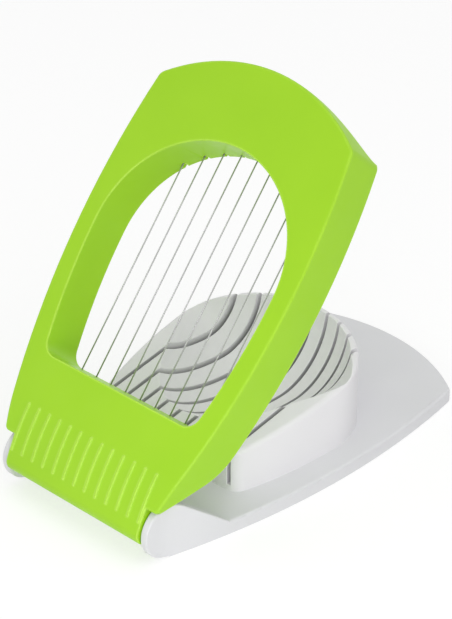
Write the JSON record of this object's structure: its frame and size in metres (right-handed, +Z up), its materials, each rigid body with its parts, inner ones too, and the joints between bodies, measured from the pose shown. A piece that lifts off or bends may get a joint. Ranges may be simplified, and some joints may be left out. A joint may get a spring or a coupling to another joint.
{
  "type": "egg slicer",
  "caption": "Hand egg slicer: a flat white base with a slotted egg-shaped cradle and a hinged green lid strung with parallel steel wires that close into the slots.",
  "frame": {"origin": "on the table under the middle of the outline, at the centre of the bounding box's lower face", "axes": "+Z up; +Y from the hinge towards the far end of the base; +X along the hinge line, to the right seen from the hinge"},
  "size_m": [0.0746, 0.1274, 0.1054],
  "materials": {
    "white_plastic": "satin moulded",
    "green_plastic": "satin moulded",
    "steel": "drawn wire, plain"
  },
  "bodies": {
    "base": {"base_plate": "white_plastic", "egg_cradle": "white_plastic", "hinge_pin": "steel"},
    "lid": {"lid_shell": "green_plastic", "front_wire_bar": "green_plastic", "rear_wire_bar": "green_plastic", "bar_screws": "steel", "cutting_wire_1": "steel", "cutting_wire_2": "steel", "cutting_wire_3": "steel", "cutting_wire_4": "steel", "cutting_wire_5": "steel", "cutting_wire_6": "steel", "cutting_wire_7": "steel", "cutting_wire_8": "steel", "cutting_wire_9": "steel"}
  },
  "joints": [
    {"name": "lid_hinge", "type": "hinge", "parent": "base", "child": "lid", "pos_m": [0, -0.05587, 0.0074], "axis": [1, 0, 0], "range_deg": [-50, 70]}
  ]
}
